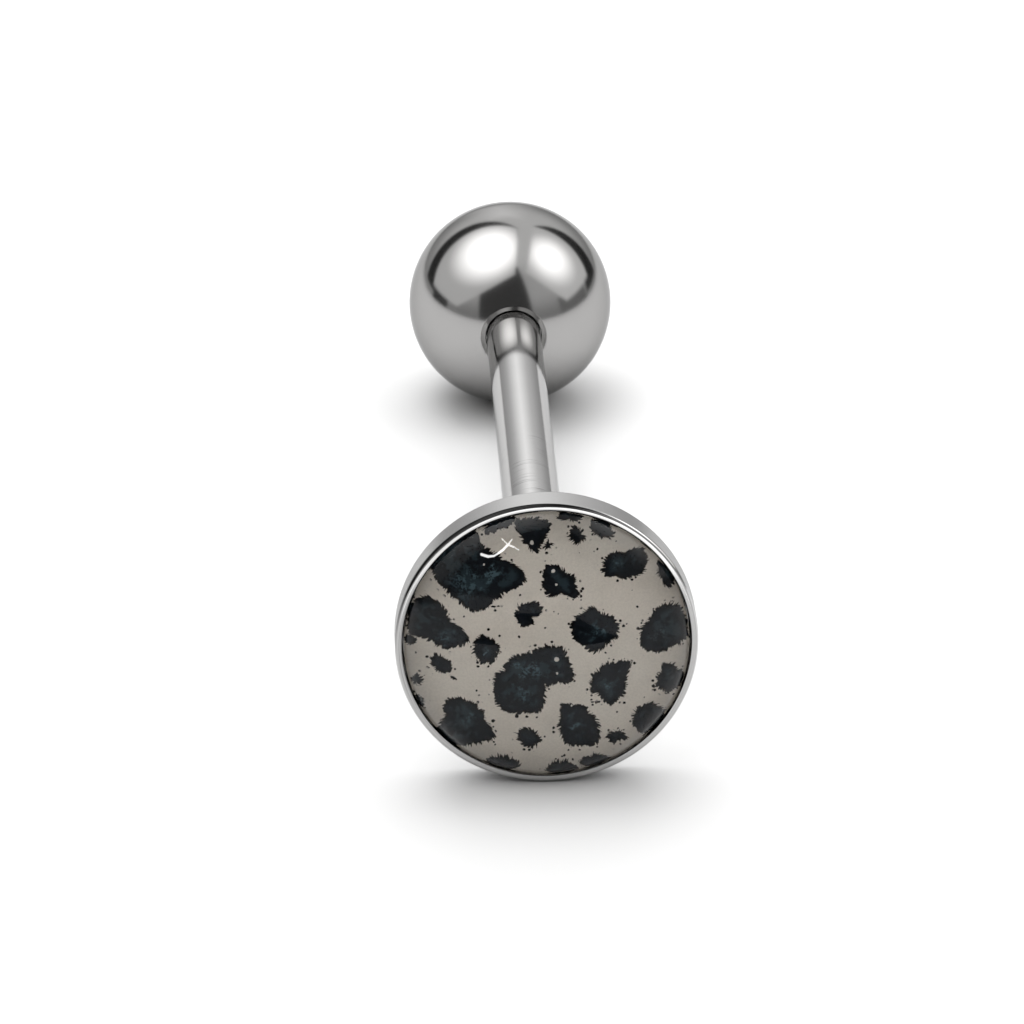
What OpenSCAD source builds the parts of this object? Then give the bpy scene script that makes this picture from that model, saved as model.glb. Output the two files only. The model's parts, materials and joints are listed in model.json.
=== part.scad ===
// Straight barbell with a domed picture disc at one end and a screw-on ball at the other.
// It lies as it rests on a table: the disc end towards -Y, on the ball and on the back edge of the cup.

/* [Bar] */
// Length of bar that shows between the cup and the ball
bar_len = 21.2; // [12:0.2:30]
// Diameter of the bar
bar_d = 1.6; // [1.4:0.1:1.8]
// Diameter of the bar's reduced end inside the ball
tenon_d = 1.2; // [0.8:0.1:1.2]
// Length of the reduced end
tenon_len = 2.6; // [1.5:0.1:3]

/* [Ball] */
// Diameter of the ball
ball_d = 6; // [5:0.5:7]
// Diameter of the flat on the ball round its hole
ball_flat_d = 2.5; // [2.2:0.1:3]
// Width of the countersink's sloping ring round the bar
sink_w = 0.1; // [0.05:0.01:0.15]
// Depth that the bar's shoulder sits below the flat
seat_depth = 0.15; // [0.12:0.01:0.3]

/* [Cup] */
// Outer diameter of the cup
cup_d = 8; // [7.5:0.5:9]
// Height of the cup from its back to its rim
cup_h = 0.95; // [0.8:0.05:1.6]
// Thickness of the cup's rim
rim_w = 0.2; // [0.15:0.01:0.3]
// Thickness of the cup's floor
floor_t = 0.35; // [0.25:0.05:0.4]
// Rounding of the cup's back edge
back_round = 0.1; // [0.05:0.01:0.2]
// Rounding of the rim's outer front edge
rim_round = 0.08; // [0.03:0.01:0.1]
// Bevel of the rim's inner front edge
rim_bevel = 0.03; // [0.01:0.01:0.04]

/* [Picture and resin] */
// Thickness of the printed disc
print_t = 0.1; // [0.05:0.05:0.15]
// Depth of the resin's edge below the rim
resin_inset = 0.06; // [0.03:0.01:0.1]
// Radius of the resin's rounded shoulder
shoulder_r = 1.2; // [0.6:0.1:1.4]
// Slope where the middle passes into the shoulder
shoulder_from = 20; // [14:1:22]
// Slope of the shoulder where it meets the edge
shoulder_to = 60; // [50:1:70]

/* [Gaps] */
// Gap between pieces that touch on the real thing
gap = 0.03; // [0.02:0.01:0.05]

/* [Hidden] */
$fn = 96;

// Heights along the bar, from the ball's centre towards the disc
flat_z = sqrt(pow(ball_d / 2, 2) - pow(ball_flat_d / 2, 2));
shoulder_z = flat_z - seat_depth + gap;
tenon_end_z = shoulder_z - tenon_len;
bore_room = 0.2;
cup_back_z = flat_z + bar_len;
rim_z = cup_back_z + cup_h;
cup_floor_z = cup_back_z + floor_t;
print_z = cup_floor_z + gap;
resin_z = print_z + print_t + gap;
resin_edge_z = rim_z - resin_inset;

// The resin's outline is a gently curved middle and a rounder shoulder, two arcs that meet with one slope
well_r = cup_d / 2 - rim_w;
inner_r = well_r - gap;
shoulder_c = inner_r - shoulder_r * sin(shoulder_to);
dome_mid_r = (shoulder_c + shoulder_r * sin(shoulder_from)) / sin(shoulder_from);
shoulder_cz = resin_edge_z - shoulder_r * cos(shoulder_to);
dome_cz = shoulder_cz + (shoulder_r - dome_mid_r) * cos(shoulder_from);

// It rests on the ball and on the round of the cup's back edge, which sets its tilt
rest_z = cup_back_z + back_round;
rest_r = cup_d / 2 - back_round;
rest_span = norm([rest_r, rest_z]);
lie_tilt = acos((ball_d / 2 - back_round) / rest_span) - atan2(rest_z, rest_r);

// Half way between the ball's far side and the dome's front is Y = 0
dome_front = dome_cz * cos(lie_tilt) + dome_mid_r;
ball_y = (dome_front - ball_d / 2) / 2;

arc_steps = 8;

// Points of an arc round (r, z), angles from the outward direction towards the disc
function arc(r, z, radius, from, to) = [
    for (i = [0 : arc_steps])
        let (a = from + (to - from) * i / arc_steps)
        [r + radius * cos(a), z + radius * sin(a)]
];

// Lays what stands along +Z from the ball's centre down on the table
module lay_down() {
    translate([0, ball_y, ball_d / 2]) rotate([90 - lie_tilt, 0, 0]) children();
}

module cup() {
    rotate_extrude() polygon(concat(
        [[0, cup_back_z]],
        arc(cup_d / 2 - back_round, cup_back_z + back_round, back_round, -90, 0),
        arc(cup_d / 2 - rim_round, rim_z - rim_round, rim_round, 0, 90),
        [[well_r + rim_bevel, rim_z], [well_r, rim_z - rim_bevel], [well_r, cup_floor_z], [0, cup_floor_z]]
    ));
}

module bar_cup() {
    color("silver") lay_down() union() {
        cup();
        translate([0, 0, shoulder_z]) cylinder(d = bar_d, h = cup_floor_z - shoulder_z - floor_t / 2);
        translate([0, 0, tenon_end_z]) cylinder(d = tenon_d, h = tenon_len + bar_d);
    }
}

module print_disc() {
    color([0.66, 0.62, 0.57]) lay_down()
        translate([0, 0, print_z]) cylinder(r = inner_r, h = print_t);
}

module resin_dome() {
    color([0.85, 0.88, 0.9, 0.4]) lay_down() rotate_extrude() polygon(concat(
        [[0, resin_z], [inner_r, resin_z]],
        arc(shoulder_c, shoulder_cz, shoulder_r, 90 - shoulder_to, 90 - shoulder_from),
        arc(0, dome_cz, dome_mid_r, 90 - shoulder_from, 90)
    ));
}

module screw_ball() {
    bar_hole_r = bar_d / 2 + gap;
    color("gainsboro") lay_down() difference() {
        sphere(d = ball_d);
        translate([0, 0, flat_z]) cylinder(d = ball_d, h = ball_d);
        translate([0, 0, flat_z - sink_w]) cylinder(r1 = bar_hole_r, r2 = bar_hole_r + 2 * sink_w, h = 2 * sink_w);
        translate([0, 0, flat_z - seat_depth]) cylinder(r = bar_hole_r, h = ball_d);
        translate([0, 0, tenon_end_z - bore_room]) cylinder(r = tenon_d / 2 + gap, h = ball_d);
    }
}

bar_cup();
print_disc();
resin_dome();
screw_ball();
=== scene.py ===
import json
import math

import bpy
import numpy as np
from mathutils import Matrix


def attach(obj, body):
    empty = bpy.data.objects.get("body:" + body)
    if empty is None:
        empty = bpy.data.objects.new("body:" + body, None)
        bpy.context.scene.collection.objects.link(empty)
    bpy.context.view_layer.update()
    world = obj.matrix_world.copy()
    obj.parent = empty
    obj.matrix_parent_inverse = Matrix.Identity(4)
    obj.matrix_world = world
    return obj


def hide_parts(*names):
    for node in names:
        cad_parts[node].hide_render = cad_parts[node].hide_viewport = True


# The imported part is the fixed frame. Everything below is built round it, in metres.
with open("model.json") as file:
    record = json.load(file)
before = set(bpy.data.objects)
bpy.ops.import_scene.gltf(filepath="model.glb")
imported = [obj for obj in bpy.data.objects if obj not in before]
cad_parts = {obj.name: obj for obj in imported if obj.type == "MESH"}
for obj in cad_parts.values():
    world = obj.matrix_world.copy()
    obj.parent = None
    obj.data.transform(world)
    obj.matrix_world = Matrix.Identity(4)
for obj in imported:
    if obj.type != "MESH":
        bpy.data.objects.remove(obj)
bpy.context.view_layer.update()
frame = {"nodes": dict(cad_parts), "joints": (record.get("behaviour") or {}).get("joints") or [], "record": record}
mm = 0.001
print("frame loaded:", ", ".join(sorted(frame["nodes"])))


# Where the pieces lie

# The bar's sizes in mm, the same as the solids'. Lengths run along the bar from the ball's centre to
# the disc.
barSizes = {
    "ballRadius": 3.0,
    "flatRadius": 1.25,        # the solid ball's flat, from which the bar's length is measured
    "seatDepth": 0.15,         # how far the bar's shoulder sits below the flat
    "shown": 21.2,             # bar between the ball's flat and the cup
    "barRadius": 0.8,
    "tenonRadius": 0.6,
    "tenonLength": 2.6,
    "boreRoom": 0.2,           # space left past the tenon's end
    "cupRadius": 4.0,
    "cupHeight": 0.95,
    "rimWidth": 0.2,
    "floorThickness": 0.35,
    "printThickness": 0.1,
    "resinInset": 0.06,        # resin's edge below the rim
    "gap": 0.03,               # room between pieces that touch in the real thing
}
flatAt = math.sqrt(barSizes["ballRadius"] ** 2 - barSizes["flatRadius"] ** 2)
shoulderAt = flatAt - barSizes["seatDepth"] + barSizes["gap"]
tenonAt = shoulderAt - barSizes["tenonLength"]
cupAt = flatAt + barSizes["shown"]
rimAt = cupAt + barSizes["cupHeight"]
cupFloorAt = cupAt + barSizes["floorThickness"]
printAt = cupFloorAt + barSizes["gap"]
printTopAt = printAt + barSizes["printThickness"]
resinEdgeAt = rimAt - barSizes["resinInset"]
wellRadius = barSizes["cupRadius"] - barSizes["rimWidth"]
printRadius = wellRadius - barSizes["gap"]

# The bar's slope on the table and the ball's centre come from the frame: the joint's axis and the bar's
# own mount
awayFromDisc = np.array(frame["joints"][0]["axis"], float)
awayFromDisc /= np.linalg.norm(awayFromDisc)
barMount = next(mount for mount in frame["record"]["mounts"] if mount["name"] == "bar")
toDisc = -awayFromDisc
acrossFace = np.array([1.0, 0.0, 0.0])
upFace = np.cross(toDisc, acrossFace)
ownAxes = np.stack([acrossFace, upFace, toDisc])
ballCentre = np.array(barMount["pos_m"]) + awayFromDisc * (flatAt + barSizes["shown"] / 2) * mm


# Surfaces of revolution

def arc(centre, radius, start, stop, count):
    # A stretch of profile on a circle: r and z are the centre's plus the radius times the angle's
    # cosine and sine. Rows hold r, z and the outward normal. Angle 0 points away from the axis and 90
    # towards the disc.
    angles = np.radians(np.linspace(start, stop, count))
    normals = np.stack([np.cos(angles), np.sin(angles)], axis=1)
    return np.hstack([np.array(centre) + radius * normals, normals])


def eased(corners, steps=9):
    # A profile of straight sides through corners of r, z and rounding. Each corner becomes an arc of
    # that radius, which starts the radius times the tangent of half the turn before the corner and
    # meets both sides smoothly. The normal is the way along, turned right by a quarter.
    points = np.array([corner[:2] for corner in corners], float)
    ways = np.diff(points, axis=0)
    ways /= np.linalg.norm(ways, axis=1, keepdims=True)
    headings = np.unwrap(np.arctan2(ways[:, 1], ways[:, 0]))
    rows = [[*points[0], ways[0, 1], -ways[0, 0]]]
    for i in range(1, len(points) - 1):
        rounding = corners[i][2]
        turn = headings[i] - headings[i - 1]
        start = points[i] - ways[i - 1] * rounding * abs(math.tan(turn / 2))
        side = math.copysign(1, turn)
        left = np.array([-ways[i - 1, 1], ways[i - 1, 0]])
        centre = start + side * rounding * left
        heading = headings[i - 1] + turn * np.linspace(0, 1, steps)
        outward = np.stack([np.sin(heading), -np.cos(heading)], axis=1)
        rows.extend(np.hstack([centre + side * rounding * outward, outward]))
    rows.append([*points[-1], ways[-1, 1], -ways[-1, 0]])
    return np.array(rows)


def meshFrom(name, points, normals, faces):
    # faces is a list of index arrays, one for the triangles and one for the quads
    mesh = bpy.data.meshes.new(name)
    loops = np.concatenate([f.ravel() for f in faces])
    totals = np.concatenate([np.full(len(f), f.shape[1]) for f in faces])
    starts = np.concatenate([[0], np.cumsum(totals)[:-1]])
    mesh.vertices.add(len(points))
    mesh.vertices.foreach_set("co", points.astype(np.float32).ravel())
    mesh.loops.add(len(loops))
    mesh.loops.foreach_set("vertex_index", loops.astype(np.int32))
    mesh.polygons.add(len(totals))
    mesh.polygons.foreach_set("loop_start", starts.astype(np.int32))
    mesh.polygons.foreach_set("loop_total", totals.astype(np.int32))
    mesh.polygons.foreach_set("use_smooth", np.ones(len(totals), bool))
    mesh.update(calc_edges=True)
    mesh.validate()
    mesh.normals_split_custom_set_from_vertices(normals.tolist())
    return mesh


def turned(name, profile, segments):
    # Carries a profile round the bar's axis: across and up are the radius times the angle's cosine and
    # sine, and the place along is the profile's own. A ring of points for each row, and one point
    # closes each end. Returns the object, and each point's own place in mm: across, up the disc's face,
    # along the bar.
    angles = np.linspace(0, 2 * math.pi, segments, endpoint=False)
    circle = np.stack([np.cos(angles), np.sin(angles)], axis=1)
    rings = profile[1:-1]
    around = rings[:, None, [0, 0]] * circle
    along = np.broadcast_to(rings[:, None, [1]], around.shape[:2] + (1,))
    own = np.concatenate([around, along], axis=2).reshape(-1, 3)
    leanAround = rings[:, None, [2, 2]] * circle
    leanAlong = np.broadcast_to(rings[:, None, [3]], around.shape[:2] + (1,))
    lean = np.concatenate([leanAround, leanAlong], axis=2).reshape(-1, 3)
    ends = np.array([[0, 0, profile[0, 1]], [0, 0, profile[-1, 1]]])
    own = np.vstack([own, ends])
    lean = np.vstack([lean, [[0, 0, -1], [0, 0, 1]]])
    grid = np.arange(len(rings) * segments).reshape(len(rings), segments)
    beside = np.roll(grid, -1, axis=1)
    quads = np.stack([grid[:-1], beside[:-1], beside[1:], grid[1:]], axis=2).reshape(-1, 4)
    firstPole = np.full(segments, len(own) - 2)
    lastPole = np.full(segments, len(own) - 1)
    firstFan = np.stack([firstPole, beside[0], grid[0]], axis=1)
    lastFan = np.stack([lastPole, grid[-1], beside[-1]], axis=1)
    points = own @ ownAxes * mm + ballCentre
    mesh = meshFrom(name, points, lean @ ownAxes, [np.vstack([firstFan, lastFan]), quads])
    piece = bpy.data.objects.new(name, mesh)
    bpy.context.scene.collection.objects.link(piece)
    addAttribute(piece, "ownPlace", own)
    return piece, own


def addAttribute(piece, name, values):
    # One number or one vector for each point
    if values.ndim == 1:
        layer = piece.data.attributes.new(name, "FLOAT", "POINT")
        layer.data.foreach_set("value", values.astype(np.float32))
    else:
        layer = piece.data.attributes.new(name, "FLOAT_VECTOR", "POINT")
        layer.data.foreach_set("vector", values.astype(np.float32).ravel())


# Shader maths

class Wire:
    # One socket of a node tree. Sums written on it add Math nodes.
    def __init__(self, recipe, socket):
        self.recipe = recipe
        self.socket = socket

    def __add__(self, other):
        return self.recipe.maths("ADD", self, other)

    def __radd__(self, other):
        return self.recipe.maths("ADD", other, self)

    def __sub__(self, other):
        return self.recipe.maths("SUBTRACT", self, other)

    def __rsub__(self, other):
        return self.recipe.maths("SUBTRACT", other, self)

    def __mul__(self, other):
        return self.recipe.maths("MULTIPLY", self, other)

    def __rmul__(self, other):
        return self.recipe.maths("MULTIPLY", other, self)

    def __truediv__(self, other):
        return self.recipe.maths("DIVIDE", self, other)

    def __pow__(self, other):
        return self.recipe.maths("POWER", self, other)


class Recipe:
    # Adds nodes to one tree
    def __init__(self, tree):
        self.tree = tree
        tree.nodes.clear()

    def node(self, kind, settings=None, sockets=None):
        made = self.tree.nodes.new("ShaderNode" + kind)
        for name, value in (settings or {}).items():
            setattr(made, name, value)
        for name, value in (sockets or {}).items():
            if isinstance(value, Wire):
                self.tree.links.new(value.socket, made.inputs[name])
            else:
                made.inputs[name].default_value = value
        return made

    def wire(self, made, output=0):
        return Wire(self, made.outputs[output])

    def maths(self, operation, *values):
        made = self.node("Math", {"operation": operation}, dict(enumerate(values)))
        return self.wire(made)

    def dot(self, vector, direction):
        made = self.node("VectorMath", {"operation": "DOT_PRODUCT"}, {0: vector, 1: direction})
        return self.wire(made, "Value")

    def scaled(self, vector, factors):
        made = self.node("VectorMath", {"operation": "MULTIPLY"}, {0: vector, 1: factors})
        return self.wire(made)

    def parts(self, vector):
        made = self.node("SeparateXYZ", None, {0: vector})
        return [self.wire(made, i) for i in range(3)]

    def joined(self, x, y, z):
        return self.wire(self.node("CombineXYZ", None, {0: x, 1: y, 2: z}))

    def rise(self, value, low, high):
        # 0 below low and 1 above high, with a smooth step between them
        settings = {"interpolation_type": "SMOOTHSTEP"}
        sockets = {"Value": value, "From Min": low, "From Max": high}
        return self.wire(self.node("MapRange", settings, sockets))

    def zone(self, value, origin, limits):
        # The same, with its two ends measured from an origin
        return self.rise(value, origin + limits[0], origin + limits[1])

    def noise(self, vector, scale, detail=2.0, roughness=0.5):
        sockets = {"Vector": vector, "Scale": scale, "Detail": detail, "Roughness": roughness}
        return self.wire(self.node("TexNoise", None, sockets))

    def patches(self, vector, scale, detail, roughness, low, high):
        # Noise as soft patches: nothing where it is below low, whole where it is above high
        return self.rise(self.noise(vector, scale, detail, roughness), low, high)

    def mix(self, factor, first, second):
        # A Mix node that mixes colours takes them on its sockets 6 and 7, and gives the result on its 2
        made = self.node("Mix", {"data_type": "RGBA"}, {0: factor, 6: first, 7: second})
        return self.wire(made, 2)

    def attribute(self, name, output="Vector"):
        return self.wire(self.node("Attribute", {"attribute_name": name}), output)

    def finish(self, kind, shader):
        self.node("Output" + kind, None, {"Surface": shader})


def colour(red, green, blue):
    # A colour as it looks on a screen, 0 to 255, turned into the linear values that a shader takes
    values = np.array([red, green, blue]) / 255
    linear = np.where(values <= 0.04045, values / 12.92, ((values + 0.055) / 1.055) ** 2.4)
    return (*linear.tolist(), 1.0)


def grey(level, warmth=0.0):
    # A linear grey, with this share more red and less blue
    return (level * (1 + warmth), level, level * (1 - warmth), 1.0)


def newMaterial(name):
    material = bpy.data.materials.new(name)
    material.use_nodes = True
    return material, Recipe(material.node_tree)


# Studio light: a sky of pale walls with softboxes and dark gaps, each with soft edges

studio = {
    "turn": 2.26,              # degrees that the light's middle line is turned to the right of +Y
    "backWalls": 1.04,
    "frontWalls": 0.7,
    "wallChange": (-0.5, 0.3), # where the front walls' light passes into the back walls', along +Y
    "horizon": 0.5,            # share of the walls' light left where they meet the table
    "horizonTop": 0.5,         # height from which the walls have all their light
    "overhead": 0.98,          # level straight above
    "overheadChange": (0.75, 0.99),
    "grazing": 0.05,           # a card is looked at no more sideways than this
    "cards": [
        # Azimuth 0 is behind the ball and 90 to the right. Edges are tangents seen from the middle of
        # the card, and its sides go from low to high with a bulge half way up. Soft is half the width
        # of its edges. Later cards stand in front of earlier ones.
        # name, azimuth, elevation, low, high, left low, right low, left high, right high,
        # left bulge, right bulge, soft, level
        ("back strip", -5, 26, -0.35, 0.25, -0.12, 0.12, -0.12, 0.12, 0.0, 0.0, 0.18, 1.45),
        ("right low gap", 97, 6, -0.12, 0.2, -0.32, 0.42, -0.32, 0.42, 0.0, 0.0, 0.05, 0.25),
        ("left low gap", -90, 1, -0.06, 0.2, -0.23, 0.21, -0.23, 0.21, 0.0, 0.0, 0.04, 0.03),
        ("camera side", 180, 30, -0.55, 0.68, -0.58, 0.78, -0.17, 0.6, 0.0, 0.0, 0.05, 0.08),
        ("left frame", -90, 60, -1.5, 0.74, 0.3, 1.15, 0.3, 0.66, 0.0, 0.25, 0.06, 0.03),
        ("right frame", 90, 44, -0.88, 0.46, -1.12, -0.3, -0.8, -0.3, 0.18, 0.0, 0.06, 0.03),
        ("left softbox", -90, 60, -1.3, 0.74, -0.8, 0.45, -0.85, 0.65, 0.18, 0.14, 0.05, 0.95),
        ("right softbox", 90, 44, -0.66, 0.5, -0.52, 0.42, -0.78, 0.62, 0.03, 0.1, 0.05, 1.1),
    ],
    "glows": {
        # Where the lamp shows through the card: sideways and up it, the radii where it is whole and gone,
        # and its level
        "left softbox": (-0.05, 0.2, 0.0, 0.95, 4.3),
        "right softbox": (0.0, 0.12, 0.0, 0.65, 3.8),
    },
}


def cardAxes(recipe, direction, azimuth, elevation):
    # Where a direction meets a flat card that faces the middle from one unit away: sideways and up the
    # card, each the direction's share along the card's own axis over its share towards the card
    around, above = math.radians(azimuth + studio["turn"]), math.radians(elevation)
    sine, cosine = math.sin(around), math.cos(around)
    rise, level = math.sin(above), math.cos(above)
    facing = recipe.dot(direction, (sine * level, cosine * level, rise))
    facing = recipe.maths("MAXIMUM", facing, studio["grazing"])
    sideways = recipe.dot(direction, (cosine, -sine, 0)) / facing
    upwards = recipe.dot(direction, (-sine * rise, -cosine * rise, level)) / facing
    return sideways, upwards


def cardEdge(recipe, upwards, low, high, atLow, atHigh, bulge):
    # The side's place at each height: the straight line from atLow to atHigh, plus the bulge times four
    # times the share of the way up times the share that is left
    step = 1 / (high - low)
    bend = -4 * bulge * step ** 2
    slope = (atHigh - atLow) * step - bend * (low + high)
    level = atLow - slope * low - bend * low ** 2
    if bend:
        slope = recipe.maths("MULTIPLY_ADD", upwards, bend, slope)
    if bend or slope:
        return recipe.maths("MULTIPLY_ADD", upwards, slope, level)
    return level


def cardFace(recipe, place, card):
    # Where a card stands in the way, with soft edges, and its light there
    name, _, _, low, high, leftLow, rightLow, leftHigh, rightHigh, leftBulge, rightBulge, soft, level = card
    sideways, upwards = place
    left = cardEdge(recipe, upwards, low, high, leftLow, leftHigh, -leftBulge)
    right = cardEdge(recipe, upwards, low, high, rightLow, rightHigh, rightBulge)
    across = recipe.maths("MINIMUM", sideways - left, right - sideways)
    along = recipe.maths("MINIMUM", upwards - low, high - upwards)
    inside = recipe.rise(recipe.maths("MINIMUM", across, along), -soft, soft)
    if name not in studio["glows"]:
        return inside, grey(level)
    aside, lift, whole, gone, glow = studio["glows"][name]
    offSide, offUp = sideways - aside, upwards - lift
    away = recipe.maths("MULTIPLY_ADD", offSide, offSide, offUp * offUp) ** 0.5
    return inside, recipe.mix(recipe.rise(away, gone, whole), grey(level), grey(glow))


def buildStudio():
    world = bpy.data.worlds.new("studio")
    bpy.context.scene.world = world
    world.use_nodes = True
    recipe = Recipe(world.node_tree)
    direction = recipe.wire(recipe.node("TexCoord"), "Generated")
    _, back, height = recipe.parts(direction)
    walls = grey(studio["frontWalls"]), grey(studio["backWalls"])
    light = recipe.mix(recipe.rise(back, *studio["wallChange"]), *walls)
    low = recipe.rise(height, studio["horizonTop"], 0.0)
    light = recipe.mix(low * (1 - studio["horizon"]), light, grey(0.0))
    light = recipe.mix(recipe.rise(height, *studio["overheadChange"]), light, grey(studio["overhead"]))
    places = {}
    for card in studio["cards"]:
        if card[1:3] not in places:
            places[card[1:3]] = cardAxes(recipe, direction, *card[1:3])
        inside, face = cardFace(recipe, places[card[1:3]], card)
        light = recipe.mix(inside, light, face)
    background = recipe.node("Background", None, {"Color": light, "Strength": 1.0})
    recipe.finish("World", recipe.wire(background))
    print("studio light:", len(studio["cards"]), "cards")


# Table and camera

table = {"halfSize": 1.5, "level": 0.51}   # metres, and how much light the table gives back
lens = {
    "millimetres": 231.6, "sensor": 36.0,
    "distance": 0.182,                 # metres
    "elevation": 25.45, "turn": 2.26,  # degrees above the table, and round to the left of -Y
    "target": (-0.555, -4.148, 3.5),   # mm, the point in the middle of the picture
    "near": 0.01, "far": 10.0,         # metres
}


def buildTable():
    half = table["halfSize"]
    corners = [(-half, -half, 0), (half, -half, 0), (half, half, 0), (-half, half, 0)]
    mesh = bpy.data.meshes.new("table")
    mesh.from_pydata(corners, [], [(0, 1, 2, 3)])
    top = bpy.data.objects.new("table", mesh)
    bpy.context.scene.collection.objects.link(top)
    material, recipe = newMaterial("table")
    shader = recipe.node("BsdfDiffuse", None, {"Color": grey(table["level"])})
    recipe.finish("Material", recipe.wire(shader))
    mesh.materials.append(material)


# A wide lamp above and behind the ball, in metres. It faces the middle and lights the table, and the
# steel doesn't mirror it.
lamp = {"place": (0.0, 0.065, 0.125), "side": 0.14, "watts": 0.23}


def buildLamp():
    light = bpy.data.lights.new("overhead lamp", "AREA")
    light.size = lamp["side"]
    light.energy = lamp["watts"]
    holder = bpy.data.objects.new("overhead lamp", light)
    bpy.context.scene.collection.objects.link(holder)
    holder.location = lamp["place"]
    holder.rotation_euler = (-math.atan2(lamp["place"][1], lamp["place"][2]), 0, 0)
    holder.visible_glossy = False
    holder.visible_transmission = False


# A white card that lies on the table in front of the cup, in mm, for the cup's rim alone to mirror
frontCard = {"near": -28.4, "far": -75.0, "halfWidth": 9.0, "lift": 0.02, "level": 2.6}


def buildFrontCard(lit):
    side, near, far, up = (frontCard[name] * mm for name in ("halfWidth", "near", "far", "lift"))
    corners = [(-side, far, up), (side, far, up), (side, near, up), (-side, near, up)]
    mesh = bpy.data.meshes.new("front card")
    mesh.from_pydata(corners, [], [(0, 1, 2, 3)])
    card = bpy.data.objects.new("front card", mesh)
    bpy.context.scene.collection.objects.link(card)
    material, recipe = newMaterial("front card")
    shader = recipe.node("Emission", None, {"Color": grey(frontCard["level"]), "Strength": 1.0})
    recipe.finish("Material", recipe.wire(shader))
    mesh.materials.append(material)
    card.visible_camera = False
    card.visible_diffuse = False
    card.visible_shadow = False
    card.light_linking.receiver_collection = bpy.data.collections.new("lit by the front card")
    card.light_linking.receiver_collection.objects.link(lit)


def buildCamera():
    turn = math.radians(lens["turn"])
    rise = math.radians(lens["elevation"])
    back = np.array([-math.sin(turn) * math.cos(rise), -math.cos(turn) * math.cos(rise), math.sin(rise)])
    camera = bpy.data.cameras.new("camera")
    camera.lens = lens["millimetres"]
    camera.sensor_width = lens["sensor"]
    camera.clip_start = lens["near"]
    camera.clip_end = lens["far"]
    holder = bpy.data.objects.new("camera", camera)
    bpy.context.scene.collection.objects.link(holder)
    holder.location = np.array(lens["target"]) * mm + back * lens["distance"]
    holder.rotation_euler = (math.pi / 2 - rise, 0, -turn)
    bpy.context.scene.camera = holder
    bpy.context.scene.view_settings.view_transform = "Standard"


# Steel

# What the bar and the ball have in common: soft patches that are a little darker and duller
steelMottle = {"scale": 1.3, "detail": 3.0, "share": 0.35, "darker": 0.9, "roughness": 0.04}


# Bar and cup, one piece of metal

barAndCup = {
    "colour": (0.65, 0.645, 0.64),
    "roughness": 0.08,
    "grazing": 0.55,           # share of the light given back where the steel is seen nearly edge on
    "roundings": {
        # Of its corners in mm, from the tenon's end to the well
        "tenonEnd": 0.08, "tenonRoot": 0.05, "shoulder": 0.04, "solder": 0.12,
        "back": 0.1, "rim": 0.09, "rimInner": 0.04, "wellFloor": 0.02,
    },
    "shares": {
        # Of the bar's colour: the cup's outer side, the rim's face, the painted shade at the well's edge and
        # on its wall, and the painted dark reflection along the rim's outer edge
        "side": 0.86, "face": 0.7, "seam": 0.05, "wallShade": 0.5, "edge": 0.02,
    },
    "sideRoughness": 0.24, "faceRoughness": 0.12,
    "zones": {
        # Where each mark begins and where it is whole, in mm: up from the rim's plane, or out from the
        # cup's side
        "faceUp": (-0.03, -0.01), "wallShadeUp": (-0.04, -0.06),
        "sideUp": (-0.03, -0.07), "sideOut": (-0.1, -0.05),
        "darkReflectionFoot": (-0.09, -0.07), "darkReflectionTop": (-0.008, -0.02), "darkReflectionOut": (-0.12, -0.08),
        # Out from the well's wall, and up from the cup's back
        "gapShadeOut": (0.04, 0.02), "gapShadeUp": (0.1, 0.2),
    },
    "lean": {
        "seam": 0.006,         # the painted shade at the well's edge widens upwards by this share of the height
        "edge": 0.022,         # the rim's painted dark reflection widens to the left by this share of the way
        # The line fades where the height, less a share of the way to the right, falls from the second
        # of these mm to the first
        "across": 0.4, "upper": (0.5, 3.5),
    },
    # Fine rings turned in the rim's face: how close, how far they drift, how dark, and their patches
    "rings": {"scale": 26.0, "drift": 0.15, "depth": 0.3, "patches": (1.0, 2.0, 0.5, 0.5, 0.7)},
    "scratches": {
        # Noise drawn out round the bar, then the patches that have scratches, each with its scale,
        # detail, roughness and the levels of its soft edge
        "around": 0.5, "along": 16.0, "lines": (1.0, 3.0, 0.7, 0.56, 0.64),
        "patches": (1.1, 2.0, 0.5, 0.42, 0.6),
        "start": (-12.5, -10.0),   # mm along from the cup's back
        "bar": (0.4, 0.2),         # mm out from the bar's side, so that the cup has none
        "depth": 0.3,
    },
}
aroundSteps = 320              # faces round the bar, the ball and the dome


def barScratches(recipe, place, radius):
    # How much light the fine scratches that run round part of the bar near the cup take away
    look = barAndCup["scratches"]
    x, y, z = recipe.parts(place)
    drawn = recipe.joined(x * look["around"], y * look["around"], z * look["along"])
    lines = recipe.patches(drawn, *look["lines"]) * recipe.patches(place, *look["patches"])
    worn = recipe.zone(z, cupAt, look["start"])
    worn = worn * recipe.zone(radius, barSizes["barRadius"], look["bar"])
    return lines * worn * look["depth"]


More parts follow.
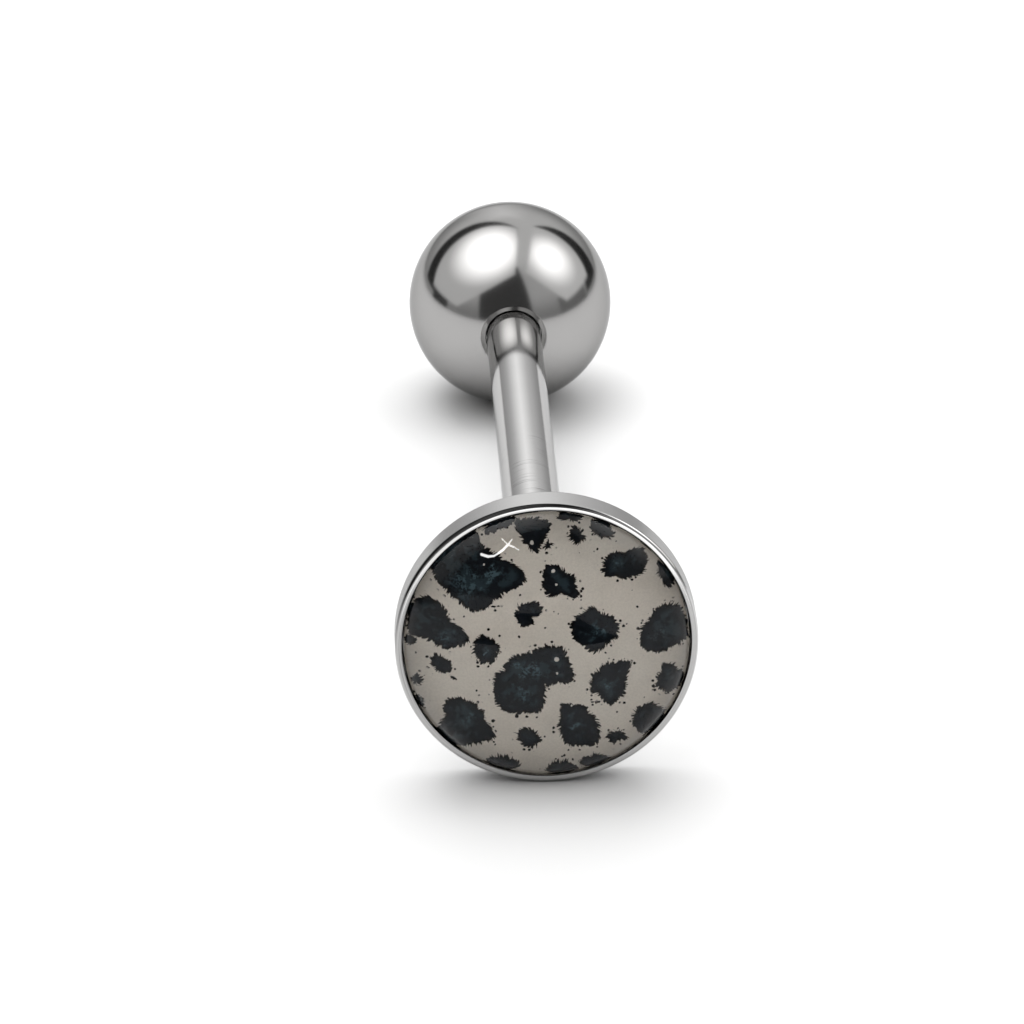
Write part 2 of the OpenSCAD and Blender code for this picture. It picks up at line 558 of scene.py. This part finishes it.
def cupMarksAndShade(recipe, place):
    # The share of the bar's colour that each part of the cup keeps, painted shade and a painted dark
    # reflection included, and where its outer side and rim's face are
    share, zones, lean = barAndCup["shares"], barAndCup["zones"], barAndCup["lean"]
    turning = barAndCup["rings"]
    x, y, z = recipe.parts(place)
    radius = (x * x + y * y) ** 0.5
    # The rim's face is a little duller, with fine turned rings
    rings = recipe.joined(radius * turning["scale"], x * turning["drift"], y * turning["drift"])
    face = recipe.zone(z, rimAt, zones["faceUp"])
    groove = face * recipe.patches(rings, *turning["patches"]) * turning["depth"]
    shade = 1 - face * (1 - share["face"]) - groove
    # Painted shade darkens the well's edge and wall, in the gap between rim and resin
    seam = recipe.zone(radius - y * lean["seam"], wellRadius, zones["gapShadeOut"])
    seam = seam * recipe.zone(z, cupAt, zones["gapShadeUp"])
    wallShade = recipe.zone(z, rimAt, zones["wallShadeUp"]) * (share["wallShade"] - share["seam"])
    shade = shade * (1 - seam * (1 - share["seam"] - wallShade))
    shade = shade * (1 - barScratches(recipe, place, radius))
    # The outer side is duller, and a painted dark reflection runs along the rim's outer edge
    outside = barSizes["cupRadius"]
    side = recipe.zone(radius, outside, zones["sideOut"]) * recipe.zone(z, rimAt, zones["sideUp"])
    shade = shade * (1 - side * (1 - share["side"]))
    edge = recipe.zone(z - x * lean["edge"], rimAt, zones["darkReflectionFoot"])
    edge = edge * recipe.zone(z, rimAt, zones["darkReflectionTop"])
    edge = edge * recipe.zone(radius, outside, zones["darkReflectionOut"])
    edge = edge * recipe.rise(y - x * lean["across"], *lean["upper"])
    return shade * (1 - edge * (1 - share["edge"])), side, face


def steel(name, look, cup=False):
    # Polished steel, faintly mottled, with the cup's and the bar's own marks, painted shade and painted
    # reflection if asked for
    material, recipe = newMaterial(name)
    place = recipe.attribute("ownPlace")
    mottle = recipe.noise(place, steelMottle["scale"], steelMottle["detail"])
    darker = [part * steelMottle["darker"] for part in look["colour"]]
    tone = recipe.mix(mottle * steelMottle["share"], (*look["colour"], 1.0), (*darker, 1.0))
    roughness = look["roughness"] + (mottle - 0.5) * steelMottle["roughness"]
    if cup:
        shade, side, face = cupMarksAndShade(recipe, place)
        tone = recipe.scaled(tone, recipe.joined(shade, shade, shade))
        roughness = roughness + side * (look["sideRoughness"] - look["roughness"])
        roughness = roughness + face * (look["faceRoughness"] - look["roughness"])
    shader = recipe.node("BsdfPrincipled", None, {
        "Base Color": tone, "Metallic": 1.0,
        "Specular Tint": grey(look["grazing"]), "Roughness": roughness})
    recipe.finish("Material", recipe.wire(shader))
    return material


def buildBarCup():
    size = barSizes
    rounding = barAndCup["roundings"]
    profile = eased([
        (0, tenonAt, 0),
        (size["tenonRadius"], tenonAt, rounding["tenonEnd"]),
        (size["tenonRadius"], shoulderAt, rounding["tenonRoot"]),
        (size["barRadius"], shoulderAt, rounding["shoulder"]),
        (size["barRadius"], cupAt, rounding["solder"]),
        (size["cupRadius"], cupAt, rounding["back"]),
        (size["cupRadius"], rimAt, rounding["rim"]),
        (wellRadius, rimAt, rounding["rimInner"]),
        (wellRadius, cupFloorAt, rounding["wellFloor"]),
        (0, cupFloorAt, 0),
    ])
    piece, _ = turned("barAndCup", profile, aroundSteps)
    piece.data.materials.append(steel("polished bar", barAndCup, cup=True))
    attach(piece, "bar")
    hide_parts("bar_cup")
    return piece


# Ball, with the worn mouth of its hole

screwBall = {
    "colour": (0.37, 0.366, 0.361),
    "roughness": 0.13,
    "grazing": 0.6,
    "mouthRadius": 1.03,       # the round surface runs on inwards to here, over the flat's worn edge
    "overrun": 1.0,            # degrees that it then goes on, while the mouth's side starts half way
    "globeSteps": 150,
    "mouth": [
        # From the outside in: radius, place along from the mouth's edge and rounding, in mm
        (0.97, 0.012, 0.1),
        (0.835, -0.02, 0.01),
        (0.815, -0.05, 0.01),
    ],
    "holeTop": -0.12, "holeRound": 0.01,
    "seatRound": 0.005, "boreRound": 0.02, "boreEndRound": 0.05,
}


def buildBall():
    size = barSizes
    shape = screwBall
    holeRadius = size["barRadius"] + size["gap"]
    boreRadius = size["tenonRadius"] + size["gap"]
    seatAt = flatAt - size["seatDepth"]
    boreEndAt = tenonAt - size["boreRoom"]
    mouthAt = math.sqrt(size["ballRadius"] ** 2 - shape["mouthRadius"] ** 2)
    edgeAngle = math.degrees(math.asin(mouthAt / size["ballRadius"]))
    globeEnd = edgeAngle + shape["overrun"]
    globe = arc((0, 0), size["ballRadius"], -90, globeEnd, shape["globeSteps"])
    sideStart = arc((0, 0), size["ballRadius"], edgeAngle + shape["overrun"] / 2, globeEnd, 2)[0, :2]
    mouth = eased([
        (*sideStart, 0),
        *[(radius, mouthAt + along, rounding) for radius, along, rounding in shape["mouth"]],
        (holeRadius, mouthAt + shape["holeTop"], shape["holeRound"]),
        (holeRadius, seatAt, shape["seatRound"]),
        (boreRadius, seatAt, shape["boreRound"]),
        (boreRadius, boreEndAt, shape["boreEndRound"]),
        (0, boreEndAt, 0),
    ])
    piece, _ = turned("screwBall", np.vstack([globe, mouth[1:]]), aroundSteps)
    piece.data.materials.append(steel("ball steel", screwBall))
    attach(piece, "ball")
    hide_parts("screw_ball")


# Resin dome

resinDome = {
    "shoulderRadius": 1.2,
    "shoulderFrom": 20.0,      # slope in degrees where the dome's middle passes into its shoulder
    "shoulderTo": 60.0,        # slope where the shoulder meets the resin's edge
    "shoulderSteps": 40, "middleSteps": 60,
    "seam": 0.005,             # dark gap seen between resin and rim, besides the room all pieces have
    "sink": 0.01,              # resin reaches this far below the print's face, so no air lies between them
    "footRound": 0.01,
    "footTop": 0.02,           # the upright foot ends this far below the resin's edge
    "ior": 1.5, "tint": (0.985, 0.985, 0.98), "roughness": 0.0,
    "gloss": 0.35,             # share of the light that such a resin would mirror
}


def domeProfile():
    # An upright foot, then an arc of the shoulder's radius, then the wide arc that meets it with the
    # same slope and has its centre on the axis: its radius is the joint's own over the sine of that
    # slope
    shape = resinDome
    radius = shape["shoulderRadius"]
    start, stop = math.radians(shape["shoulderFrom"]), math.radians(shape["shoulderTo"])
    low = printTopAt - shape["sink"]
    outer = printRadius - shape["seam"]
    shoulderIn = outer - radius * math.sin(stop)
    shoulderUp = resinEdgeAt - radius * math.cos(stop)
    domeRadius = (shoulderIn + radius * math.sin(start)) / math.sin(start)
    domeUp = shoulderUp + (radius - domeRadius) * math.cos(start)
    footTop = resinEdgeAt - shape["footTop"]
    foot = eased([(0, low, 0), (outer, low, shape["footRound"]), (outer, footTop, 0)])
    steep, gentle = 90 - shape["shoulderTo"], 90 - shape["shoulderFrom"]
    shoulder = arc((shoulderIn, shoulderUp), radius, steep, gentle, shape["shoulderSteps"])
    middle = arc((0, domeUp), domeRadius, gentle, 90, shape["middleSteps"])
    return np.vstack([foot, shoulder, middle[1:]])


def buildResin():
    look = resinDome
    piece, _ = turned("resinDome", domeProfile(), aroundSteps)
    material, recipe = newMaterial("clear resin")
    shader = recipe.node("BsdfPrincipled", None, {
        "Base Color": (*look["tint"], 1.0), "Roughness": look["roughness"],
        "IOR": look["ior"], "Transmission Weight": 1.0, "Specular Tint": grey(look["gloss"])})
    recipe.finish("Material", recipe.wire(shader))
    piece.data.materials.append(material)
    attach(piece, "bar")
    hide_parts("resin_dome")


# Printed disc

spots = [
    # x across and y up the disc's face in mm, then the outline's radius at even steps anticlockwise
    # from +x: each 15 degrees for the large spots and each 30 for the small ones
    (-1.80, 1.90, 1.25, 1.02, .84, .79, .72, .80, 1.12, 1.25, 1.20, 1.20, 1.20, 1.25,
     1.05, .95, .86, .84, .84, .93, 1.01, .96, .85, .86, .93, 1.18),
    (-2.75, .60, .38, .31, .30, .33, .38, .46, .56, .67, .74, .74, .78, .75,
     .72, .73, .77, .59, .54, .57, .63, .69, .77, .88, .91, .64),
    (-3.38, .08, .14, .14, .14, .14, .14, .14, .14, .14, .14, .14, .14, .14),
    (-2.70, -.52, .31, .25, .21, .24, .27, .30, .27, .19, .21, .26, .33, .36),
    (-3.22, -.99, .12, .14, .12, .16, .13, .14, .14, .14, .13, .12, .17, .16),
    (-3.15, -1.62, .11, .11, .14, .18, .20, .20, .20, .20, .20, .17, .16, .13),
    (-2.00, -2.10, .48, .47, .47, .48, .53, .57, .57, .67, .76, .79, .73, .62,
     .60, .68, .85, .85, .85, .72, .70, .70, .77, .83, .80, .61),
    (-1.52, -.12, .35, .34, .34, .35, .36, .31, .35, .31, .34, .38, .36, .34),
    (-.65, -1.05, .65, .70, .80, .90, .95, .89, .79, .77, .68, .60, .65, .67,
     .66, .71, .77, .81, .89, .87, .83, .86, .90, .81, .70, .66),
    (.10, -.55, .52, .47, .46, .49, .52, .54, .54, .58, .56, .60, .64, .70,
     .75, .75, .70, .65, .60, .62, .55, .53, .57, .67, .67, .55),
    (-.50, .85, .35, .38, .38, .36, .31, .29, .27, .28, .29, .29, .29, .29,
     .31, .32, .33, .34, .35, .36, .35, .34, .32, .22, .22, .34),
    (-.32, 2.85, .31, .34, .50, .52, .48, .47, .48, .48, .51, .58, .56, .38,
     .31, .28, .26, .26, .28, .32, .36, .36, .30, .26, .26, .28),
    (-1.18, 3.14, .34, .42, .35, .28, .26, .30, .34, .42, .24, .15, .14, .20),
    (.03, 2.65, .10, .11, .12, .14, .09, .07, .08, .10, .12, .10, .12, .09),
    (.75, 2.88, .17, .15, .16, .17, .19, .18, .20, .17, .18, .20, .22, .23),
    (.60, 3.32, .34, .30, .22, .20, .22, .30, .33, .20, .12, .11, .12, .20),
    (1.35, 3.00, .30, .30, .30, .30, .30, .30, .26, .20, .20, .23, .26, .40),
    (1.95, 2.10, .55, .56, .57, .51, .40, .33, .27, .31, .39, .44, .49, .51,
     .52, .56, .56, .43, .37, .37, .38, .39, .41, .44, .51, .55),
    (2.98, 1.78, .30, .30, .30, .35, .40, .25, .22, .20, .24, .37, .37, .33),
    (2.90, .30, .62, .62, .62, .66, .72, .70, .62, .58, .49, .47, .45, .49,
     .55, .59, .63, .67, .68, .65, .59, .57, .57, .61, .65, .65),
    (1.20, .38, .61, .60, .57, .52, .48, .49, .59, .56, .56, .57, .60, .61,
     .60, .59, .56, .54, .51, .60, .62, .57, .51, .53, .56, .59),
    (.28, 1.70, .44, .43, .36, .32, .32, .35, .41, .44, .51, .48, .44, .42,
     .40, .40, .41, .45, .45, .41, .38, .36, .46, .67, .60, .50),
    (1.58, -1.05, .42, .45, .53, .73, .66, .55, .51, .51, .49, .46, .47, .49,
     .50, .51, .52, .47, .48, .56, .68, .58, .52, .49, .46, .43),
    (3.08, -1.05, .38, .38, .35, .28, .30, .41, .40, .42, .38, .28, .26, .28,
     .29, .31, .39, .37, .37, .39, .39, .37, .36, .38, .38, .38),
    (2.50, -2.12, .42, .46, .47, .44, .42, .39, .36, .35, .35, .36, .33, .32,
     .33, .34, .36, .39, .42, .43, .42, .42, .42, .42, .42, .42),
    (.78, -2.25, .53, .51, .50, .48, .50, .57, .59, .65, .75, .65, .53, .49,
     .47, .49, .51, .55, .62, .63, .63, .65, .72, .75, .67, .57),
    (1.76, -2.64, .24, .20, .18, .17, .18, .22, .24, .22, .22, .16, .16, .20),
    (-.45, -2.57, .30, .24, .23, .26, .31, .35, .30, .27, .29, .30, .30, .32),
    (-1.12, -3.32, .45, .28, .22, .22, .26, .34, .42, .35, .30, .30, .30, .36),
    (.42, -3.48, .42, .30, .22, .21, .23, .32, .45, .30, .25, .25, .25, .30),
    (1.20, -3.28, .40, .32, .22, .16, .17, .26, .36, .30, .20, .20, .22, .30),
    (-1.26, 1.04, .16, .03, .02, .02, .02, .03, .14, .03, .02, .02, .02, .03),
    (1.21, -1.60, .15, .03, .02, .02, .02, .06, .15, .03, .02, .02, .02, .03),
    (-2.33, -.91, .05, .03, .02, .02, .04, .08, .05, .02, .02, .02, .04, .07),
]
darkSpecks = [
    # x, y and radius in mm
    (-1.18, .25, .035), (-.69, .22, .035), (-1.46, .42, .04), (-.04, .45, .03), (-2.08, .77, .03),
    (-1.76, -1.25, .03), (-1.70, -1.38, .025), (-3.25, -.25, .03), (-1.72, -.58, .04), (-1.46, -.58, .035),
    (-.75, -1.96, .05), (-.5, -1.97, .04), (-.25, -1.99, .03), (.17, -2.3, .04), (.17, -2.43, .04),
    (.05, -1.2, .03), (2.28, .95, .035), (.17, .88, .02), (.28, .82, .02), (1.28, 2.53, .03),
    (1.2, 2.48, .02), (.82, 2.45, .02), (2.15, 1.69, .04), (2.25, 1.75, .03), (1.78, 1.67, .04),
    (.9, 1.48, .04), (-.67, 1.34, .03), (1.92, .45, .04), (2.0, .5, .02), (2.2, -.58, .04),
    (1.6, -.07, .03), (1.46, -.26, .03), (1.77, -1.92, .03), (1.95, -1.67, .04), (.55, -2.98, .03),
    (.45, -3.14, .04), (1.8, -2.4, .03), (2.46, -1.55, .025), (-1.31, -2.8, .03), (-1.35, -2.1, .05),
    (2.68, -1.1, .04), (2.70, -1.25, .05), (2.74, -1.37, .04), (1.6, 2.7, .02), (1.72, 2.66, .02),
    (2.2, 1.3, .015), (2.15, 1.4, .015),
]
paleSpecks = [
    (.16, 1.97, .05), (.24, 1.6, .035), (-1.58, 2.17, .03), (-.37, 2.74, .05), (.24, -.4, .06),
    (.25, -.78, .03), (.62, -1.68, .03),
]
tealPatches = [
    # x, y and radius in mm, then how strongly it shows
    (-1.36, 1.87, .15, 2.0), (-2.0, 1.7, .45, .8), (-.65, -.65, .2, 1.0), (-.3, -.7, .2, 1.0),
    (-.6, -1.3, .25, .8), (1.25, .3, .2, .8), (1.58, -1.1, .15, .8), (.75, -2.3, .15, .8),
    (-2.0, -2.1, .3, .6), (1.75, 2.12, .13, .9), (2.9, .2, .3, .5), (-2.6, .2, .3, .6),
    (-1.57, -.2, .05, 2.0),
]
# Painted glint: pale strokes on the print that glow, standing in for a glint on the resin
paintedGlintStrokes = [
    # x and y of both ends in mm, then the half width
    (-1.63, 2.41, -1.48, 2.38, .03), (-1.48, 2.38, -1.33, 2.40, .026), (-1.33, 2.40, -1.12, 2.54, .022),
    (-1.12, 2.54, -.97, 2.675, .02), (-.97, 2.675, -1.12, 2.80, .012), (-.97, 2.675, -.82, 2.63, .016),
    (-.82, 2.63, -.70, 2.55, .012), (-.97, 2.675, -.86, 2.80, .01),
]
tealWaves = [
    # How the patches are shaken, first across and then up: mm that a wave moves them, its turns for
    # each mm across and up in radians, and where it starts
    [(0.07, 0, 11, 1), (0.05, 7, 23, 0)],
    [(0.07, 12, 0, 2), (0.05, 19, -9, 0)],
]
animalPrint = {
    "rings": 150, "around": 620,   # points of the face, from its rim to its middle and round it
    "footSteps": 3, "footRound": 0.005,
    "ground": (222, 217, 207), "warmGround": (224, 214, 202),
    "spot": (24, 28, 33), "deep": (14, 16, 20), "teal": (74, 93, 100),
    "edge": (22, 18, 16), "fringe": (96, 70, 52), "pale": (206, 202, 194),
    "roughness": 0.7,
    "hairs": {
        "reach": 0.09,         # mm that the longest hairs at a spot's edge reach out
        "shortest": 0.5,       # share of that for the shortest
        "scale": 13.5,         # hairs come about this often on each mm of edge
        "narrow": 7,           # the larger, the thinner the hairs
        "slant": 0.6,          # hairs lean round the spot as they reach out, one way or the other
        "apart": 3.7,          # each spot's hairs come from another part of the noise
        # Nicks that hairs leave between them: how often on each mm, the noise's level, how thin they
        # are, and how deep in mm
        "nickScale": 18.9, "nickLevel": 0.47, "nickNarrow": 12, "nickDepth": 0.03,
        "inset": 0.025,        # mm that the whole edge is drawn back
        "fine": (24.0, 0.07),  # scale and size in mm of the edge's small and large waves
        "broad": (5.0, 0.16),
        "sharp": (-0.008, 0.010),  # mm across the edge from ground to spot
    },
    "strayDots": {
        # Dots just outside the spots: how many there may be on each mm, the largest one's size as a
        # share of its cell, its soft edge, where it may lie outside the spot's edge in mm, and the
        # share of cells that have none
        "scale": 7.0, "size": 0.30, "soft": (-0.05, 0.03),
        "outside": (-0.17, -0.09), "inside": (0.0, -0.06), "none": 0.55,
    },
    "specks": {
        # The charted specks' edges: the scale and size in mm of the noise that shakes them, and how
        # soft they are
        "scale": 30.0, "wobble": 0.04, "soft": (-0.006, 0.008),
    },
    "patches": {
        # Noise's scale for each mm, its detail and roughness, and the levels of the patches' soft edge
        "hairLength": (3.1, 1.0, 0.5, 0.3, 0.65),
        "spotTone": (3.2, 4.0, 0.7, 0.4, 0.7),
        "teal": (8.3, 4.0, 0.8, 0.4, 0.62),
        "veil": (2.6, 3.0, 0.6, 0.46, 0.58),
        "fringe": (7.0, 2.0, 0.5, 0.4, 0.6),
        "speckle": (17.0, 3.0, 0.6, 0.3, 0.75),
        "cloud": (1.6, 3.0, 0.5, 0.4, 0.75),
    },
    "warmth": (0.45, 2.0),     # scale and detail of the noise that mixes the two grounds
    "shades": {
        # How far each mark goes towards its grey, and that grey's level and warmth
        "speckle": (0.14, 0.2, 0.1), "cloud": (0.1, 0.25, 0.12),
        # The next two are painted shade: soft shade by the rim, and a dark ring where the resin meets the rim
        "paintedRimShade": (0.25, 0.12, 0.05), "paintedGapRing": (0.85, 0.02, 0.0),
    },
    "zones": {
        # mm from the disc's middle where the rim's painted shade and its painted dark ring begin and are whole
        "paintedRimShade": (3.0, 3.8), "paintedGapRing": (3.69, 3.74),
        # mm inside a spot's edge for the bluish veil, then for its warm dark border and brown fringe
        "veil": (0.1, 0.3), "border": (0.09, 0.02), "fringe": (-0.022, 0.0),
        # How strong a charted teal patch is where it begins and is whole
        "teal": (0.05, 0.8),
    },
    # How far each mark in a spot goes towards its own colour
    "shares": {"deep": 0.5, "teal": 0.9, "veil": 0.25, "border": 0.85, "fringe": 0.7},
    # The painted glint's shaken soft edge in mm, and the light it gives off
    "paintedGlintLook": {"wobble": 0.01, "soft": (-0.01, 0.006), "level": 0.9},
}
farOutside = -9.0              # mm, where no spot or stroke is near


def dotField(x, y, dots):
    # How far inside the nearest dot each point lies, in mm, negative outside: its radius minus the
    # distance
    table = np.array(dots)
    return (table[:, 2] - np.hypot(x[:, None] - table[:, 0], y[:, None] - table[:, 1])).max(axis=1)


def spotField(x, y):
    # Depth inside the nearest spot's outline, in mm, negative outside. Between two charted directions
    # the outline's radius follows the cubic through both, whose slope at each is half the difference
    # of its neighbours. Also the place along that spot's edge, as a point on a circle of the spot's
    # mean radius, so that hairs can be drawn square to it.
    hairs = animalPrint["hairs"]
    depth = np.full(len(x), farOutside)
    edgePlace = np.zeros((len(x), 3))
    for number, spot in enumerate(spots):
        radii = np.array(spot[2:])
        aside, above = x - spot[0], y - spot[1]
        angle = np.arctan2(above, aside)
        step = (angle / (2 * math.pi) * len(radii)) % len(radii)
        index = np.floor(step).astype(int) % len(radii)
        share = step - np.floor(step)
        before, first, second, after = (radii[(index + k) % len(radii)] for k in (-1, 0, 1, 2))
        cubic = 3 * (first - second) + after - before
        square = 2 * before - 5 * first + 4 * second - after + share * cubic
        radius = first + 0.5 * share * (second - before + share * square)
        here = radius - np.hypot(aside, above)
        closer = here > depth
        size = radii.mean()
        turn = angle - hairs["slant"] * here / size * np.cos(angle + number)
        around = np.stack([np.cos(turn), np.sin(turn)], axis=1) * size
        edgePlace[closer] = np.column_stack([around, np.full(len(x), number * hairs["apart"])])[closer]
        depth = np.where(closer, here, depth)
    return depth, edgePlace


def paintedGlintField(x, y):
    # How far inside the nearest stroke of the painted glint each point lies, in mm, negative outside:
    # half the stroke's width minus the distance to the nearest point of its middle line
    depth = np.full(len(x), farOutside)
    for x0, y0, x1, y1, half in paintedGlintStrokes:
        along = np.array([x1 - x0, y1 - y0])
        share = np.clip(((x - x0) * along[0] + (y - y0) * along[1]) / (along @ along), 0, 1)
        depth = np.maximum(depth, half - np.hypot(x - x0 - share * along[0], y - y0 - share * along[1]))
    return depth


def tealField(x, y):
    # The sum of the patches, each its strength times e to minus the square of the distance in its own
    # radii, with the place shaken by waves
    across, up = (
        place + sum(size * np.sin(alongX * x + alongY * y + start) for size, alongX, alongY, start in waves)
        for place, waves in zip((x, y), tealWaves))
    table = np.array(tealPatches)
    reach = np.hypot(across[:, None] - table[:, 0], up[:, None] - table[:, 1]) / table[:, 2]
    return (np.exp(-reach ** 2) * table[:, 3]).sum(axis=1)


def hairyEdge(recipe, place, depth, fine):
    # The depth inside a spot with its hairs, nicks and waves. A hair or nick stands where a noise along
    # the edge passes one level, so each one narrows to a point.
    look = animalPrint["hairs"]
    edgePlace = recipe.attribute("edgePlace")
    crest = recipe.maths("ABSOLUTE", recipe.noise(edgePlace, look["scale"], 1.0) - 0.5)
    hairs = recipe.maths("MAXIMUM", 1 - crest * look["narrow"], 0.0)
    length = recipe.patches(edgePlace, *animalPrint["patches"]["hairLength"])
    nick = recipe.maths("ABSOLUTE", recipe.noise(edgePlace, look["nickScale"], 1.0) - look["nickLevel"])
    nicks = recipe.maths("MAXIMUM", 1 - nick * look["nickNarrow"], 0.0)
    longer = look["shortest"] + length * (1 - look["shortest"])
    ragged = depth + hairs * longer * look["reach"] - nicks * look["nickDepth"] - look["inset"]
    broad = recipe.noise(place, look["broad"][0], 2.0)
    return ragged + (fine - 0.5) * look["fine"][1] + (broad - 0.5) * look["broad"][1]


def dotsBesideSpots(recipe, place, depth):
    # Small dots in a pattern of random cells, at most one in each, in a band just outside the spots
    look = animalPrint["strayDots"]
    cell = recipe.node("TexVoronoi", None, {"Vector": place, "Scale": look["scale"]})
    chance, _, _ = recipe.parts(recipe.wire(cell, "Color"))
    dot = recipe.wire(cell, "Distance")
    dots = recipe.rise(look["size"] * chance - dot, *look["soft"])
    band = recipe.rise(depth, *look["outside"]) * recipe.rise(depth, *look["inside"])
    return dots * band * recipe.maths("GREATER_THAN", chance, look["none"])


def shaded(recipe, mask, name, paint):
    # Takes a paint towards one of the print's greys
    share, level, warmth = animalPrint["shades"][name]
    return recipe.mix(mask * share, paint, grey(level, warmth))


def groundPaint(recipe, place, out):
    # Taupe with a fine grain and soft clouds, and painted shade towards the rim
    look = animalPrint
    warm = recipe.noise(place, *look["warmth"])
    ground = recipe.mix(warm, colour(*look["ground"]), colour(*look["warmGround"]))
    for name in ("speckle", "cloud"):
        ground = shaded(recipe, recipe.patches(place, *look["patches"][name]), name, ground)
    return shaded(recipe, recipe.rise(out, *look["zones"]["paintedRimShade"]), "paintedRimShade", ground)


def spotPaint(recipe, place, depth, ragged):
    # Blue-black with darker patches, teal mottling and a warm dark border
    look = animalPrint
    share, zones, patches = look["shares"], look["zones"], look["patches"]
    tone = recipe.patches(place, *patches["spotTone"])
    spot = recipe.mix(tone * share["deep"], colour(*look["spot"]), colour(*look["deep"]))
    grain = recipe.patches(place, *patches["teal"])
    teal = recipe.rise(recipe.attribute("tealDepth", "Fac") * grain, *zones["teal"])
    veil = recipe.rise(depth, *zones["veil"]) * recipe.patches(place, *patches["veil"])
    mottling = recipe.maths("MAXIMUM", teal * share["teal"], veil * share["veil"])
    spot = recipe.mix(mottling, spot, colour(*look["teal"]))
    return recipe.mix(recipe.rise(ragged, *zones["border"]) * share["border"], spot, colour(*look["edge"]))


def printPaint():
    look = animalPrint
    zones, specks, paintedGlintLook = look["zones"], look["specks"], look["paintedGlintLook"]
    material, recipe = newMaterial("animal print")
    place = recipe.attribute("ownPlace")
    depth = recipe.attribute("spotDepth", "Fac")
    x, y, _ = recipe.parts(place)
    out = (x * x + y * y) ** 0.5
    fine = recipe.noise(place, look["hairs"]["fine"][0], 2.0)
    ragged = hairyEdge(recipe, place, depth, fine)
    # Spots, stray dots and charted specks are all dark
    inSpot = recipe.rise(ragged, *look["hairs"]["sharp"])
    dark = recipe.maths("MAXIMUM", inSpot, dotsBesideSpots(recipe, place, depth))
    wobble = (recipe.noise(place, specks["scale"], 1.0) - 0.5) * specks["wobble"]
    speck = recipe.rise(recipe.attribute("darkSpeck", "Fac") + wobble, *specks["soft"])
    dark = recipe.maths("MAXIMUM", dark, speck)
    pale = recipe.rise(recipe.attribute("paleSpeck", "Fac") + wobble, *specks["soft"])
    # The ground, a brown fringe, the spots, the pale specks and the painted shade ring, one over the other
    fringe = recipe.rise(ragged, *zones["fringe"]) * recipe.patches(place, *look["patches"]["fringe"])
    ground = groundPaint(recipe, place, out)
    paint = recipe.mix(fringe * look["shares"]["fringe"], ground, colour(*look["fringe"]))
    paint = recipe.mix(dark, paint, spotPaint(recipe, place, depth, ragged))
    paint = recipe.mix(pale, paint, colour(*look["pale"]))
    # Painted shade: a dark ring at the print's edge, where the resin meets the rim
    paint = shaded(recipe, recipe.rise(out, *zones["paintedGapRing"]), "paintedGapRing", paint)
    # Painted glint: pale strokes that glow by their own light, for a glint on the resin
    paintedGlintDepth = recipe.attribute("paintedGlintDepth", "Fac") + (fine - 0.5) * paintedGlintLook["wobble"]
    glow = recipe.mix(recipe.rise(paintedGlintDepth, *paintedGlintLook["soft"]), grey(0.0), grey(paintedGlintLook["level"]))
    shader = recipe.node("BsdfPrincipled", None, {
        "Base Color": paint, "Roughness": look["roughness"], "Specular IOR Level": 0.0,
        "Emission Color": glow, "Emission Strength": 1.0})
    recipe.finish("Material", recipe.wire(shader))
    return material


def buildPrint():
    # A closed disc, with rings of points close enough on its face for the spots' outlines
    look = animalPrint
    foot = eased([
        (0, printAt, 0),
        (printRadius, printAt, look["footRound"]),
        (printRadius, printTopAt, look["footRound"]),
        (0, printTopAt, 0),
    ], steps=look["footSteps"])
    rings = np.linspace(foot[-2, 0], 0, look["rings"] + 1)[1:]
    height, aside, upright = np.full(len(rings), printTopAt), np.zeros(len(rings)), np.ones(len(rings))
    flat = np.column_stack([rings, height, aside, upright])
    piece, own = turned("animalPrint", np.vstack([foot[:-1], flat]), look["around"])
    x, y = own[:, 0], own[:, 1]
    depth, edgePlace = spotField(x, y)
    addAttribute(piece, "spotDepth", depth)
    addAttribute(piece, "edgePlace", edgePlace)
    addAttribute(piece, "darkSpeck", dotField(x, y, darkSpecks))
    addAttribute(piece, "paleSpeck", dotField(x, y, paleSpecks))
    addAttribute(piece, "paintedGlintDepth", paintedGlintField(x, y))
    addAttribute(piece, "tealDepth", tealField(x, y))
    piece.data.materials.append(printPaint())
    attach(piece, "bar")
    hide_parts("print_disc")


buildStudio()
buildTable()
buildLamp()
buildCamera()
print("studio, table and camera done")
buildFrontCard(buildBarCup())
buildBall()
print("steel done")
buildPrint()
buildResin()
print("print and resin done")
